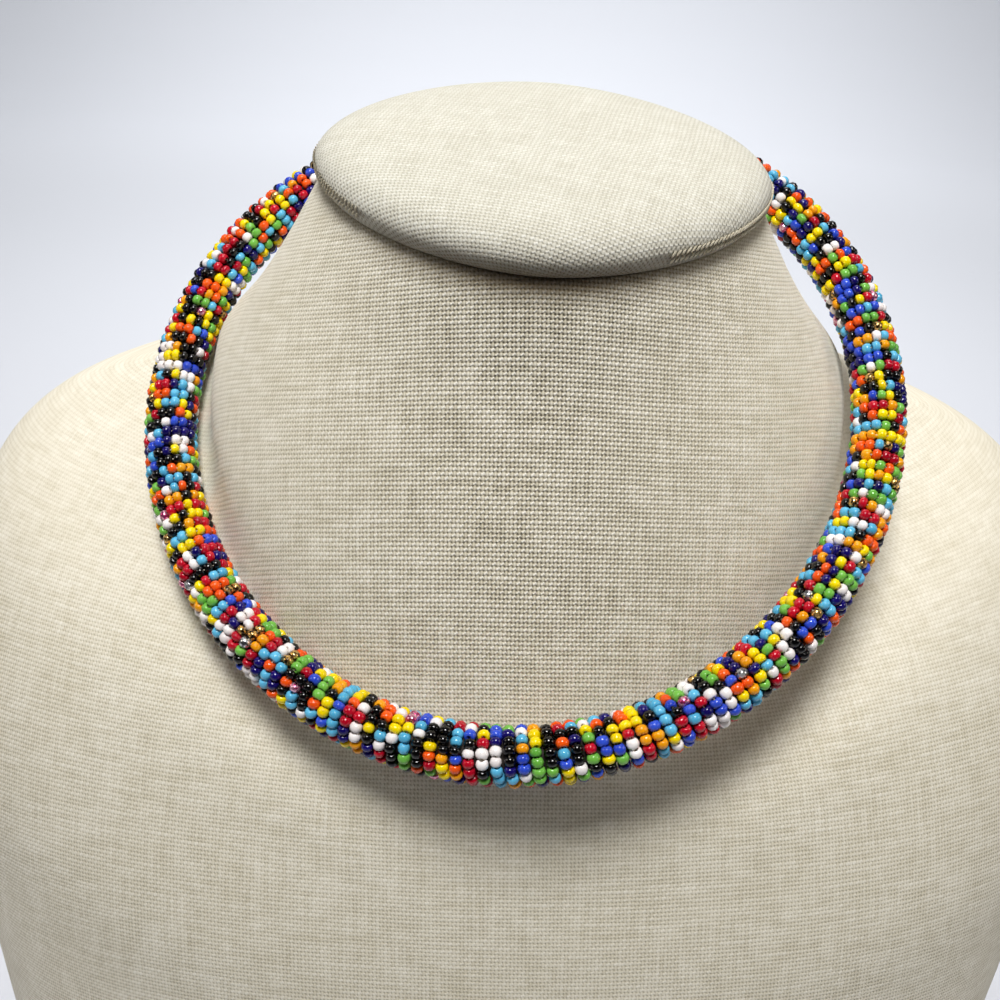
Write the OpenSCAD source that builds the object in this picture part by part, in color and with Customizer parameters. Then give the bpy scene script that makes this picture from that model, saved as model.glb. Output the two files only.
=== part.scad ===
// Beaded rope collar necklace on a linen-covered neck bust.
// Millimetres. The bust stands on Z = 0 and faces -Y, with +X on its viewer's right.

/* [Beaded rope] */
// Outside diameter of the rope, over its beads
rope_d = 11.2; // [9:0.1:11.6]
// Half width of the collar, to the middle of the rope
collar_half_w = 73.8; // [73.4:0.1:76]
// Half depth of the collar, from the middle of its back to the middle of its front
collar_half_d = 71.6; // [71.4:0.1:73]
// Share by which the collar is narrower at the front and wider at the back
collar_egg = 0.095; // [0.08:0.005:0.12]
// How far the sides dip below the collar's plane, and its front and back rise above it
collar_bow = 3.6; // [2.5:0.1:4.5]

/* [Place of the collar] */
// Angle by which the front of the collar hangs lower than its back
collar_tilt = 43; // [42:0.5:45]
// Angle by which its left side hangs lower than its right side
collar_lean = 8.7; // [7:0.1:9]
// Turn of the collar about its own axis
collar_turn = 0.6; // [0:0.1:2]
// Middle of the collar, from the middle of the neck's top
collar_middle = [-2.1, -8.1, -43.9];

/* [Clasp] */
// Length of the clasp between the two ends of the rope
clasp_l = 16; // [12:1:22]
// Diameter of the cups at the ends of the clasp
clasp_d = 9.6; // [7:0.1:10.4]

/* [Neck pad] */
// Width of the padded top of the neck
pad_w = 89.2; // [86:0.1:92]
// Depth of the padded top of the neck
pad_d = 76.8; // [74:0.1:77.4]
// Angle by which the neck's top slopes down to the front
pad_slope = 17; // [12:0.5:20]
// Angle by which the neck's top leans to its right side
pad_lean = 1; // [0:0.1:2]

/* [Bust] */
// Height of the middle of the neck's top above the base
neck_top_h = 288; // [270:1:320]
// How far the neck's top lies behind the middle of the base
neck_back = 8.7; // [8:0.1:10]
// How far the neck stands in under the edge of the pad
neck_inset = 1.3; // [0.8:0.1:2]

/* [Hidden] */

// Room left between two pieces that meet, and more at the clasp, where the rope's ends bend away
gap = 0.2;
clasp_gap = 0.7;

// Columns of the bust's rows. Each row is one closed outline round the bust. Its height follows a
// parabola through its foremost point, its sides and its rearmost point. Lengths are from the
// middle of the neck's top.
ROW_HALF_W = 0;   // half of its width
ROW_SIDE_Y = 1;   // where it is widest
ROW_SIDE_Z = 2;
ROW_FRONT_Y = 3;  // its foremost point
ROW_FRONT_Z = 4;
ROW_BACK_Y = 5;   // its rearmost point
ROW_BACK_Z = 6;
ROW_LEAN = 7;     // angle by which its right side is lower than its left side
ROW_SQ_F = 8;     // squareness of its front half, 2 for an ellipse
ROW_SQ_B = 9;     // squareness of its back half
neck_half_w = pad_w / 2 - neck_inset;
neck_half_y = (pad_d / 2 - neck_inset) * cos(pad_slope);
neck_half_z = (pad_d / 2 - neck_inset) * sin(pad_slope);
BUST_ROWS = [
    // neck, from its top to the root of the shoulders
    [neck_half_w, 0, 0, -neck_half_y, -neck_half_z, neck_half_y, neck_half_z, pad_lean, 1.8, 1.8],
    [ 51.0,  0.0,  -14.0, -37.5,  -30.0, 34.5,   -2.0,  0.5, 1.9, 1.9],
    [ 60.0,  2.0,  -27.5, -43.0,  -52.0, 35.0,   -8.0, -0.2, 2.0, 2.0],
    [ 67.5,  8.0,  -36.0, -50.0,  -77.5, 36.5,  -15.0, -0.4, 2.0, 2.0],
    // shoulders
    [ 70.5, 16.0,  -42.0, -55.0,  -99.5, 39.0,  -22.0, -0.5, 2.0, 2.0],
    [ 83.5, 19.5,  -47.0, -57.5, -110.5, 42.0,  -30.5, -0.4, 2.0, 2.0],
    [104.5, 19.5,  -52.5, -59.0, -118.5, 45.5,  -41.5, -0.2, 2.0, 2.0],
    [120.0, 17.0,  -65.5, -60.5, -127.0, 48.5,  -58.0,  0.0, 2.0, 2.1],
    [129.0, 14.0,  -86.0, -62.5, -138.0, 50.5,  -80.5,  0.0, 2.1, 2.2],
    // chest, down to the flat base
    [132.0, 12.0, -111.0, -64.5, -151.0, 51.0, -108.0,  0.0, 2.2, 2.3],
    [131.0, 11.0, -140.0, -66.0, -167.0, 50.5, -139.0,  0.0, 2.2, 2.4],
    [128.5, 10.0, -172.0, -67.0, -186.0, 49.5, -172.0,  0.0, 2.2, 2.4],
    [125.0, 10.0, -208.0, -66.5, -213.0, 48.5, -208.0,  0.0, 2.2, 2.4],
    [121.0, 10.0, -248.0, -65.0, -249.0, 47.0, -248.0,  0.0, 2.2, 2.4],
    [116.0, 10.0, -neck_top_h, -62.0, -neck_top_h, 45.0, -neck_top_h, 0.0, 2.2, 2.4],
];
// Outlines made from one row to the next, and points in each outline
BUST_STEPS = 3;
BUST_SIDES = 64;

// Rounded edge and crown of the pad: height above the neck's top, and how far it stands in
PAD_EDGE = [
    [0, 1.3], [1.5, 0.3], [3.5, 0], [5.5, 0.9], [7.2, 3], [8.6, 7], [9.6, 13], [10.3, 22], [10.6, 31],
];
PAD_SQUARENESS = 1.8;
PAD_SIDES = 64;

// Rings and sides of the rope's tube
ROPE_RINGS = 80;
ROPE_SIDES = 16;

function unit(v) = v / norm(v);

// Point between row i and row i + 1 on a smooth curve through all rows
function between_rows(rows, i, t) =
    let (b = rows[i], c = rows[i + 1])
    let (a = i > 0 ? rows[i - 1] : 2 * b - c)
    let (d = i + 2 < len(rows) ? rows[i + 2] : 2 * c - b)
    b + (c - a) * t / 2 + (2 * a - 5 * b + 4 * c - d) * t * t / 2 + (3 * b - a - 3 * c + d) * t * t * t / 2;

// Signed power, which makes a circle's sine and cosine squarer or rounder
function bulge(v, squareness) = sign(v) * pow(abs(v), 2 / squareness);

// One outline of the bust as a list of points
function bust_outline(row) =
    let (
        front = row[ROW_FRONT_Y] - row[ROW_SIDE_Y],
        back = row[ROW_BACK_Y] - row[ROW_SIDE_Y],
        front_slope = (row[ROW_FRONT_Z] - row[ROW_SIDE_Z]) / front,
        back_slope = (row[ROW_BACK_Z] - row[ROW_SIDE_Z]) / back,
        bend = (back_slope - front_slope) / (back - front),
        side_slope = front_slope - bend * front
    )
    [
        for (k = [0 : BUST_SIDES - 1])
            let (
                angle = 360 * k / BUST_SIDES,
                behind = sin(angle) > 0,
                squareness = behind ? row[ROW_SQ_B] : row[ROW_SQ_F],
                x = row[ROW_HALF_W] * bulge(cos(angle), squareness),
                y = (behind ? back : -front) * bulge(sin(angle), squareness),
                z = row[ROW_SIDE_Z] + side_slope * y + bend * y * y
            )
            [x, row[ROW_SIDE_Y] + y, z - tan(row[ROW_LEAN]) * x]
    ];

// One outline of the pad, at a height above the neck's top
function pad_outline(edge) = [
    for (k = [0 : PAD_SIDES - 1])
        let (angle = 360 * k / PAD_SIDES)
        [
            (pad_w / 2 - edge[1]) * bulge(cos(angle), PAD_SQUARENESS),
            (pad_d / 2 - edge[1]) * bulge(sin(angle), PAD_SQUARENESS),
            edge[0] + gap
        ]
];

// Solid through outlines listed from the top down, each anticlockwise from above
module skin(outlines) {
    n = len(outlines[0]);
    last = len(outlines) - 1;
    points = [for (outline = outlines) each outline];
    walls = [
        for (i = [0 : last - 1], k = [0 : n - 1])
            let (next = (k + 1) % n)
            each [
                [i * n + k, i * n + next, (i + 1) * n + next],
                [i * n + k, (i + 1) * n + next, (i + 1) * n + k]
            ]
    ];
    top = [for (k = [n - 1 : -1 : 0]) k];
    bottom = [for (k = [0 : n - 1]) last * n + k];
    polyhedron(points = points, faces = concat([top], walls, [bottom]));
}

// Moves from the middle of the neck's top to the bust's own frame
module on_neck_top() {
    translate([0, neck_back, neck_top_h])
        children();
}

// Middle of the rope in the collar's own frame: 0 degrees is its right side, 90 its front
function collar_point(t) = [
    collar_half_w * cos(t) * (1 - collar_egg * sin(t)),
    -collar_half_d * sin(t),
    -collar_bow * cos(2 * t)
];

// Direction of the rope there
function collar_way(t) = unit(collar_point(t + 0.5) - collar_point(t - 0.5));

// Ring of points round the rope, anticlockwise seen from the end that it starts at
function rope_ring(t) =
    let (way = collar_way(t), middle = collar_point(t))
    let (out = unit(middle - way * (middle * way)), up = cross(out, way))
    [
        for (k = [0 : ROPE_SIDES - 1])
            let (angle = 360 * k / ROPE_SIDES)
            middle + rope_d / 2 * (out * cos(angle) + up * sin(angle))
    ];

// The rope runs once round from its right end, behind the neck, to its left end
BACK = 270;
end_reach = asin((clasp_l / 2 + clasp_gap) / (collar_half_w * (1 + collar_egg)));
rope_start = BACK - 360 + end_reach;
rope_end = BACK - end_reach;

// Moves from the collar's own frame to its place on the neck
module on_collar() {
    on_neck_top()
        translate(collar_middle)
            rotate([collar_tilt, -collar_lean, collar_turn])
                children();
}

// Neck, shoulders and chest, with a flat base
module bust_body() {
    last = len(BUST_ROWS) - 1;
    outlines = [
        for (i = [0 : last - 1], step = [0 : BUST_STEPS - 1])
            bust_outline(between_rows(BUST_ROWS, i, step / BUST_STEPS))
    ];
    color("#cdc3ae")
        on_neck_top()
            skin(concat(outlines, [bust_outline(BUST_ROWS[last])]));
}

// Padded top of the neck, with a rounded edge and a low crown
module neck_pad() {
    last = len(PAD_EDGE) - 1;
    color("#e6e1d2")
        on_neck_top()
            rotate([pad_slope, pad_lean, 0])
                skin([for (i = [last : -1 : 0]) pad_outline(PAD_EDGE[i])]);
}

// Stiff rope covered with rings of seed beads, open behind the neck where the clasp sits
module beaded_rope() {
    color("#3f6fb5")
        on_collar()
            skin([
                for (i = [0 : ROPE_RINGS - 1])
                    rope_ring(rope_start + (rope_end - rope_start) * i / (ROPE_RINGS - 1))
            ]);
}

// Plain barrel clasp: a cup over each end of the rope and a slimmer middle
module clasp() {
    cup_l = clasp_l * 0.3;
    waist_d = clasp_d * 0.82;
    color("#b9a36a")
        on_collar()
            translate((collar_point(rope_start) + collar_point(rope_end)) / 2)
                rotate([0, 90, 0]) {
                    cylinder(h = clasp_l, d = waist_d, center = true, $fn = 48);
                    for (side = [-1, 1])
                        translate([0, 0, side * (clasp_l - cup_l) / 2])
                            cylinder(h = cup_l, d = clasp_d, center = true, $fn = 48);
                }
}

bust_body();
neck_pad();
beaded_rope();
clasp();
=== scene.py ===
"""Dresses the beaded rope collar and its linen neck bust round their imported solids.

Lengths are in metres, in the frame's own place: the bust stands on Z = 0 and faces -Y.
"""

import logging
import math
from collections.abc import Callable
from dataclasses import dataclass, field
from enum import Enum
from itertools import accumulate

import bmesh
import bpy
import numpy as np
from mathutils import Matrix, Vector


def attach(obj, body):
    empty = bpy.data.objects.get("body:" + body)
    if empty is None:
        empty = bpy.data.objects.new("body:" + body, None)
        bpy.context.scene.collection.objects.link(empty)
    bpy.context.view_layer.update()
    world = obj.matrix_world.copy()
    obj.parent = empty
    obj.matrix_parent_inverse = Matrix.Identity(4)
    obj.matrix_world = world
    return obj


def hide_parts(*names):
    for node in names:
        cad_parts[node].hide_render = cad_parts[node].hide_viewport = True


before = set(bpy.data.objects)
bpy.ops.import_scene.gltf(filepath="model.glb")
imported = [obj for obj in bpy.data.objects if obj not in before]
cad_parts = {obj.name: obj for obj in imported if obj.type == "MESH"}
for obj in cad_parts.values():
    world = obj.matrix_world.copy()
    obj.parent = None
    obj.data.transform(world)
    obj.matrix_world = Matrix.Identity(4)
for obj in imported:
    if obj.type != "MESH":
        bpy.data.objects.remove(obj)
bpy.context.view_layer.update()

MM = 0.001
TURN = 2 * math.pi
BODY = "root"
WEAVE_MAP = "weave"
OPENED = "opened"
PAINTED_SHADE = "painted_shade"
TONE = "bead_tone"
LOG = logging.getLogger("collar")

Colour = tuple[float, float, float, float]
Point = tuple[float, float, float]


def seen(red: int, green: int, blue: int) -> Colour:
    """Turns a colour as a screen shows it, from 0 to 255, into a linear one with a full alpha."""
    shares = (value / 255 for value in (red, green, blue))
    linear = (s / 12.92 if s <= 0.04045 else ((s + 0.055) / 1.055) ** 2.4 for s in shares)
    return (*linear, 1.0)


def operator(operation: str) -> Callable[..., "Wire"]:
    """Makes a method of Wire that adds a Math node with that operation."""

    def method(self: "Wire", *others: "Wire | float") -> "Wire":
        """Adds the node, with the wire itself as the first operand."""
        return self.bench.combine(operation, self, *others)

    return method


class Wire:
    """A number on its way through a node tree. Arithmetic on it adds Math nodes."""

    def __init__(self, bench: "Bench", socket: bpy.types.NodeSocket) -> None:
        """Keeps the bench that the wire belongs to and the socket it leaves from."""
        self.bench = bench
        self.socket = socket

    __add__ = __radd__ = operator("ADD")
    __mul__ = __rmul__ = operator("MULTIPLY")
    __sub__ = operator("SUBTRACT")
    __truediv__ = operator("DIVIDE")
    __pow__ = operator("POWER")
    __abs__ = operator("ABSOLUTE")
    floor = operator("FLOOR")
    fraction = operator("FRACT")
    cosine = operator("COSINE")
    sine = operator("SINE")
    root = operator("SQRT")
    below = operator("LESS_THAN")
    at_least = operator("MAXIMUM")
    at_most = operator("MINIMUM")
    merged = operator("SMOOTH_MAX")

    def __rsub__(self, other: float) -> "Wire":
        """Subtracts from a number."""
        return self.bench.combine("SUBTRACT", other, self)


class Bench:
    """Lays out the nodes of one tree."""

    def __init__(self, tree: bpy.types.NodeTree) -> None:
        """Takes the tree that the nodes go into."""
        self.tree = tree

    def feed(self, node: bpy.types.Node, sockets: dict[int | str, object]) -> None:
        """Links wires to a node's inputs, and sets its other inputs to plain values."""
        for key, value in sockets.items():
            if isinstance(value, Wire):
                self.tree.links.new(value.socket, node.inputs[key])
            else:
                node.inputs[key].default_value = value

    def node(
        self,
        kind: str,
        settings: dict[str, object] | None = None,
        sockets: dict[int | str, object] | None = None,
    ) -> bpy.types.Node:
        """Adds a node.

        Args:
            kind: The node's type.
            settings: Its properties.
            sockets: Values and wires of its inputs, by name or number.

        Returns:
            The node.
        """
        made = self.tree.nodes.new(kind)
        for name, value in (settings or {}).items():
            setattr(made, name, value)
        self.feed(made, sockets or {})
        return made

    def wire(
        self,
        kind: str,
        settings: dict[str, object] | None = None,
        sockets: dict[int | str, object] | None = None,
        output: int | str = 0,
    ) -> Wire:
        """Adds a node and takes the output with that name or number."""
        return Wire(self, self.node(kind, settings, sockets).outputs[output])

    def combine(self, operation: str, *operands: Wire | float) -> Wire:
        """Adds one Math node on up to three operands and gives its result."""
        return self.wire("ShaderNodeMath", {"operation": operation}, dict(enumerate(operands)))

    def vector(self, operation: str, *operands: Wire) -> Wire:
        """Adds one Vector Math node on vectors and gives its result."""
        return self.wire("ShaderNodeVectorMath", {"operation": operation}, dict(enumerate(operands)))

    def stretch(self, way: Wire, amount: Wire | float) -> Wire:
        """Scales a vector by a number."""
        return self.wire("ShaderNodeVectorMath", {"operation": "SCALE"}, {"Vector": way, "Scale": amount})

    def sum_of(self, one: Wire, much: Wire, other: Wire, more: Wire) -> Wire:
        """Adds two vectors, each scaled by the number after it."""
        return self.vector("ADD", self.stretch(one, much), self.stretch(other, more))

    def join(self, x: Wire | float, y: Wire | float, z: Wire | float = 0.0) -> Wire:
        """Makes a vector from three numbers."""
        return self.wire("ShaderNodeCombineXYZ", None, {"X": x, "Y": y, "Z": z})

    def split(self, way: Wire) -> tuple[Wire, Wire, Wire]:
        """Takes a vector apart into its three numbers."""
        parts = self.node("ShaderNodeSeparateXYZ", None, {0: way})
        return tuple(Wire(self, socket) for socket in parts.outputs)

    def blend(self, share: Wire, first: Wire | Colour, second: Wire | Colour) -> Wire:
        """Mixes a share of the second colour into the first."""
        settings = {"data_type": "RGBA", "clamp_factor": True}
        return self.wire("ShaderNodeMix", settings, {0: share, 6: first, 7: second}, 2)

    def noise(self, place: Wire, scale: float, detail: float = 2.0, roughness: float = 0.5) -> Wire:
        """Adds a Noise Texture with so many features to the metre, about 0.5 on the mean."""
        sockets = {"Vector": place, "Scale": scale, "Detail": detail, "Roughness": roughness}
        return self.wire("ShaderNodeTexNoise", {"normalize": True}, sockets)


class Paint(Bench):
    """Lays out the nodes of one material, round its Principled shader."""

    def __init__(self, name: str) -> None:
        """Starts the material."""
        self.material = bpy.data.materials.new(name)
        self.material.use_nodes = True
        super().__init__(self.material.node_tree)

    def place(self) -> Wire:
        """Gives the object's own coordinates."""
        return self.wire("ShaderNodeTexCoord", output="Object")

    def attribute(self, name: str) -> Wire:
        """Gives a number that the mesh holds."""
        return self.wire("ShaderNodeAttribute", {"attribute_name": name}, output="Fac")

    def relief(self, height: Wire, distance: float, strength: float = 1.0) -> Wire:
        """Turns a height, as a share of a distance, into the normal of a bump."""
        sockets = {"Strength": strength, "Distance": distance, "Height": height}
        return self.wire("ShaderNodeBump", None, sockets)

    def finish(self, sockets: dict[str, object]) -> bpy.types.Material:
        """Feeds the shader and gives the material."""
        self.feed(self.tree.nodes["Principled BSDF"], sockets)
        return self.material


@dataclass(frozen=True)
class LinenFinish:
    """Plain-woven natural linen, whose threads follow the piece's weave map.

    Attributes:
        name: Name of the material.
        across: Spacing of the upright threads.
        down: Spacing of the level threads.
        turn: Angle of the threads on the map, in degrees.
        pale: Colour of the bleached threads, and of the painted highlight on their crests.
        shade: Colour of the darker threads.
        deep: Colour painted into the pinholes between them, for the shade inside them.
        painted_shade_colour: Colour painted where shade falls, in a crease or in the seam's channel: a
            painted shade.
        relief: Height of the threads.
        warp_girth: Width of an upright thread as a share of the spacing.
        weft_girth: Width of a level thread as a share of the spacing.
        slub_girth: How much wider a slub is than the thin part of a thread.
        slub_height: How much higher it stands.
        slub_scale: Slubs to each spacing along a thread.
        swing: How far a thread rises over the ones that it crosses, in its own thicknesses.
        float_length: How long a level thread stays on top, 1 for an even wave.
        lean: How far the twist slants a level thread where it passes over, in spacings.
        sunk: How far the upright threads lie under the level ones.
        merge: How softly the one goes over into the other.
        wander: How far the threads stray from their lines, in spacings.
        wander_scale: Strays to the metre.
        hole: Radius of the pinhole between four threads.
        hole_spread: How much thick threads narrow the hole.
        hole_edge: Width of the hole's soft edge.
        pinholes: How much of the shade painted into the holes shows on a wall.
        open_above: How much of that is lost where the cloth faces up, to the light.
        fibre_scale: Fibres to the metre.
        fibre_height: Their height as a share of a thread's.
        cloud_scale: Paler and darker patches to the metre.
        contrast: How much the relief (a painted highlight on the threads' crests), the level slubs, the
            upright
        slubs, the fibres and the patches each lighten the cloth.
        light: How light it is without them.
    """

    name: str
    across: float = 0.75 * MM
    down: float = 0.86 * MM
    turn: float = 0.0
    pale: Colour = seen(252, 249, 236)
    shade: Colour = seen(210, 202, 176)
    deep: Colour = seen(60, 50, 26)
    # Painted shade: the colour that creases and the seam's channel are darkened towards.
    painted_shade_colour: Colour = seen(92, 74, 42)
    relief: float = 0.16 * MM
    warp_girth: float = 0.95
    weft_girth: float = 0.78
    slub_girth: float = 0.9
    slub_height: float = 0.6
    slub_scale: float = 0.09
    swing: float = 0.5
    float_length: float = 1.7
    lean: float = 0.16
    sunk: float = 0.35
    merge: float = 0.25
    wander: float = 1.1
    wander_scale: float = 22.0
    hole: float = 0.18 * MM
    hole_spread: float = 0.28 * MM
    hole_edge: float = 0.12 * MM
    pinholes: float = 0.95
    open_above: float = 0.9
    fibre_scale: float = 5200.0
    fibre_height: float = 0.3
    cloud_scale: float = 60.0
    contrast: tuple[float, float, float, float, float] = (1.3, 0.55, 0.35, 0.3, 0.25)
    light: float = 0.43

    # Step through the slubs' noise from one thread to the next.
    APART = 5.37

    def thread(self, side: Wire, girth: float, wave: Wire, slub: Wire) -> Wire:
        """Works out the surface of the threads that run one way.

        Args:
            side: Distance from a thread's middle, 1 half-way to the next thread.
            girth: Width of the thread as a share of the spacing.
            wave: 1 where the thread passes over a crossing one and -1 where it passes under.
            slub: How thick the thread is there, about 0.5 on the mean.

        Returns:
            The height of the surface.
        """
        width = girth + (slub - 0.5) * self.slub_girth
        share = side / width
        return 1 - share * share + wave * self.swing + (slub - 0.5) * self.slub_height

    def pinhole(self, bench: Paint, warp: Wire, weft: Wire, slubs: Wire) -> Wire:
        """Works out where the pinholes are, and how much shade to paint into them.

        Args:
            bench: The material's bench.
            warp: Place across the upright threads, in spacings.
            weft: Place up the level threads, in spacings.
            slubs: Thickness of the threads there, about 1 on the mean.

        Returns:
            How much of the painted shade shows.
        """
        beside = (1 - abs(warp.fraction() - 0.5) * 2) * (self.across / 2)
        above = (0.5 - abs(weft.fraction() - 0.5)) * self.down
        reach = self.hole - (slubs - 1) * self.hole_spread
        depth = (reach - (beside * beside + above * above).root()) / self.hole_edge + 0.5
        # Painted shade: it fades where the cloth faces up, to the light.
        normal = bench.wire("ShaderNodeNewGeometry", output="Normal")
        sheltered = 1 - bench.split(normal)[2].at_least(0.0) * self.open_above
        return depth.at_least(0.0).at_most(1.0) * sheltered * self.pinholes

    def material(self) -> bpy.types.Material:
        """Builds the material: crossing threads, slubs, pinholes and their relief."""
        bench = Paint(self.name)
        place = bench.wire("ShaderNodeUVMap", {"uv_map": WEAVE_MAP})
        stray = (bench.noise(place, self.wander_scale) - 0.5) * self.wander
        rotation = (0, 0, math.radians(self.turn))
        turned = bench.wire("ShaderNodeMapping", None, {"Vector": place, "Rotation": rotation})
        across, down, _ = bench.split(turned)
        warp, weft = across / self.across + stray, down / self.down + stray
        warp_number, weft_number = warp.floor(), weft.floor()
        on_weft = bench.join(warp * self.slub_scale, weft_number * self.APART)
        on_warp = bench.join(warp_number * self.APART, weft * self.slub_scale, 7.0)
        weft_slub, warp_slub = (bench.noise(thread, 1.0, 3.0) for thread in (on_weft, on_warp))

        weft_wave = ((warp - 0.5 + weft_number) * math.pi).cosine() * self.float_length
        weft_wave = weft_wave.at_least(-1.0).at_most(1.0)
        warp_wave = ((weft - 0.5 + warp_number) * math.pi).cosine() * -1
        weft_side = abs(weft.fraction() - 0.5 + (warp * TURN).sine() * self.lean) * 2
        warp_side = abs(warp.fraction() - 0.5) * 2
        weft_top = self.thread(weft_side, self.weft_girth, weft_wave, weft_slub)
        warp_top = self.thread(warp_side, self.warp_girth, warp_wave, warp_slub) - self.sunk
        height = weft_top.merged(warp_top, self.merge)

        opened = bench.attribute(OPENED)
        # Painted shade in the pinholes, where the weave is open.
        pinhole = self.pinhole(bench, warp, weft, weft_slub + warp_slub) * opened
        fibre = bench.noise(turned, self.fibre_scale, 2.0, 0.7)
        cloud = bench.noise(place, self.cloud_scale, 3.0)
        # Painted highlight: the threads' crests are lightened in the colour, over the bump's own shading;
        # the slubs, fibres and patches are the threads' own tone.
        crest_highlight, *of_others = self.contrast
        light = (height - 1.0) * crest_highlight * opened + self.light
        for share, what in zip(of_others, (weft_slub, warp_slub, fibre, cloud)):
            light = light + (what - 0.5) * share
        cloth = bench.blend(pinhole, bench.blend(light, self.shade, self.pale), self.deep)
        return bench.finish(
            {
                # Painted shade: the skin's share darkens the cloth in the crease under the pad and in the
                # seam's channel.
                "Base Color": bench.blend(bench.attribute(PAINTED_SHADE), cloth, self.painted_shade_colour),
                "Normal": bench.relief((height + fibre * self.fibre_height) * opened, self.relief),
                "Roughness": 0.92,
                "Specular IOR Level": 0.2,
                "Sheen Weight": 0.15,
                "Sheen Roughness": 0.6,
            }
        )


class Glass(Enum):
    """Kinds of seed bead glass."""

    OPAQUE = "opaque"
    LINED = "lined"


@dataclass(frozen=True)
class BeadFinish:
    """Glossy glass of one colour of seed bead.

    Attributes:
        colour: Name of the colour.
        share: How common the colour is among the others.
        tint: The glass's own colour.
        deep: Colour of its darker beads, or of the dark parts of a lined bead.
        glass: Kind of glass.
    """

    colour: str
    share: float
    tint: Colour
    deep: Colour
    glass: Glass = Glass.OPAQUE

    CLOUD_SCALE = 700.0
    CLOUD_SHADE = 0.3
    TONE_SHADE = 0.55
    FACET_SCALE = 1500.0
    FACET_MIDDLE = 0.42
    FACET_CONTRAST = 6.0

    def material(self) -> bpy.types.Material:
        """Builds the material, with a tone of its own for each bead."""
        bench = Paint(f"bead_{self.colour}")
        tone, place = bench.attribute(TONE), bench.place()
        cloud = bench.noise(place, self.CLOUD_SCALE, 1.0)
        if self.glass is Glass.OPAQUE:
            darker = (1 - tone) ** 2 * self.TONE_SHADE + (cloud - 0.5) * self.CLOUD_SHADE
            colour = bench.blend(darker, self.tint, self.deep)
            rough, metal = 0.09 + tone * 0.11, 0.0
        else:
            # Lined glass: random patches of the bright metal lining among the dark glass; they also stand
            # in for its glints, partly painted glints.
            facets = bench.noise(place, self.FACET_SCALE, 1.0)
            lining_glint = (facets - self.FACET_MIDDLE) * self.FACET_CONTRAST
            colour = bench.blend(lining_glint, self.deep, self.tint)
            rough, metal = 0.16 + cloud * 0.2, 0.75
        return bench.finish(
            {
                "Base Color": colour,
                "Roughness": rough,
                "Metallic": metal,
                "Normal": bench.relief(cloud, 0.05 * MM, 0.3),
                "IOR": 1.5,
                "Specular IOR Level": 0.4,
                "Coat Weight": 0.3,
                "Coat Roughness": 0.04,
            }
        )


@dataclass(frozen=True)
class CordFinish:
    """Matt twisted cord or sewing thread.

    Attributes:
        name: Name of the material.
        pale: Colour of the fibres on top.
        deep: Colour between them.
        scale: Fibres to the metre.
    """

    name: str
    pale: Colour
    deep: Colour
    scale: float = 2500.0

    CONTRAST = 1.6
    DARKNESS = 0.3

    def material(self) -> bpy.types.Material:
        """Builds the material from one fine noise."""
        bench = Paint(self.name)
        fibre = bench.noise(bench.place(), self.scale, 3.0, 0.65)
        colour = bench.blend(fibre * self.CONTRAST - self.DARKNESS, self.deep, self.pale)
        normal = bench.relief(fibre, 0.1 * MM, 0.6)
        return bench.finish({"Base Color": colour, "Normal": normal, "Roughness": 0.85})


@dataclass(frozen=True)
class BrassFinish:
    """Turned brass with fine tool marks round the barrel and a worn, darker bloom.

    Attributes:
        name: Name of the material.
        bright: Colour of the bare metal.
        dull: Colour of the bloom.
        blooms: Patches of bloom to the metre.
        turning: Tool marks to the metre.
    """

    name: str = "clasp_brass"
    bright: Colour = seen(222, 190, 120)
    dull: Colour = seen(148, 118, 62)
    blooms: float = 260.0
    turning: float = 4200.0

    CONTRAST = 2.4
    CLEANNESS = 0.8

    def material(self) -> bpy.types.Material:
        """Builds the material."""
        bench = Paint(self.name)
        place = bench.place()
        bloom = bench.noise(place, self.blooms, 4.0, 0.6)
        marks = bench.noise(bench.join(bench.split(place)[0], 0.0), self.turning, 2.0)
        worn = bloom * self.CONTRAST - self.CLEANNESS
        return bench.finish(
            {
                "Base Color": bench.blend(worn, self.bright, self.dull),
                "Roughness": 0.2 + bloom * 0.3,
                "Normal": bench.relief(marks, 0.04 * MM, 0.35),
                "Metallic": 1.0,
            }
        )


def poured(name: str, form: bmesh.types.BMesh) -> bpy.types.Mesh:
    """Pours a finished form into a new mesh, and frees it."""
    mesh = bpy.data.meshes.new(name)
    form.normal_update()
    form.to_mesh(mesh)
    form.free()
    return mesh


def lathed(name: str, rows: list[tuple[float, float]], sides: int, closed: bool) -> bpy.types.Mesh:
    """Turns rows round Z into a smooth mesh.

    Args:
        name: Name of the mesh.
        rows: Radius and height of each row.
        sides: Sides round Z.
        closed: Whether the last row joins the first, or the first one gets a flat middle.

    Returns:
        The mesh.
    """
    form = bmesh.new()
    angles = [TURN * k / sides for k in range(sides)]
    rings = [[form.verts.new((r * math.cos(a), r * math.sin(a), z)) for a in angles] for r, z in rows]
    if closed:
        rings.append(rings[0])
    else:
        form.faces.new(rings[0])
    for near, far in zip(rings, rings[1:]):
        for k in range(sides):
            after = (k + 1) % sides
            form.faces.new((near[k], far[k], far[after], near[after])).smooth = True
    return poured(name, form)


def link(name: str, mesh: bpy.types.Mesh) -> bpy.types.Object:
    """Makes an object of a mesh and links it to the scene."""
    made = bpy.data.objects.new(name, mesh)
    bpy.context.scene.collection.objects.link(made)
    return made


def dress(piece: bpy.types.Object, stands_for: str) -> None:
    """Puts a finished piece on the frame and reports it.

    Args:
        piece: The piece, its place in its mesh.
        stands_for: CAD node that it replaces.
    """
    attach(piece, BODY)
    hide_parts(stands_for)
    LOG.info("%s: %d faces", piece.name, len(piece.data.polygons))


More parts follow.
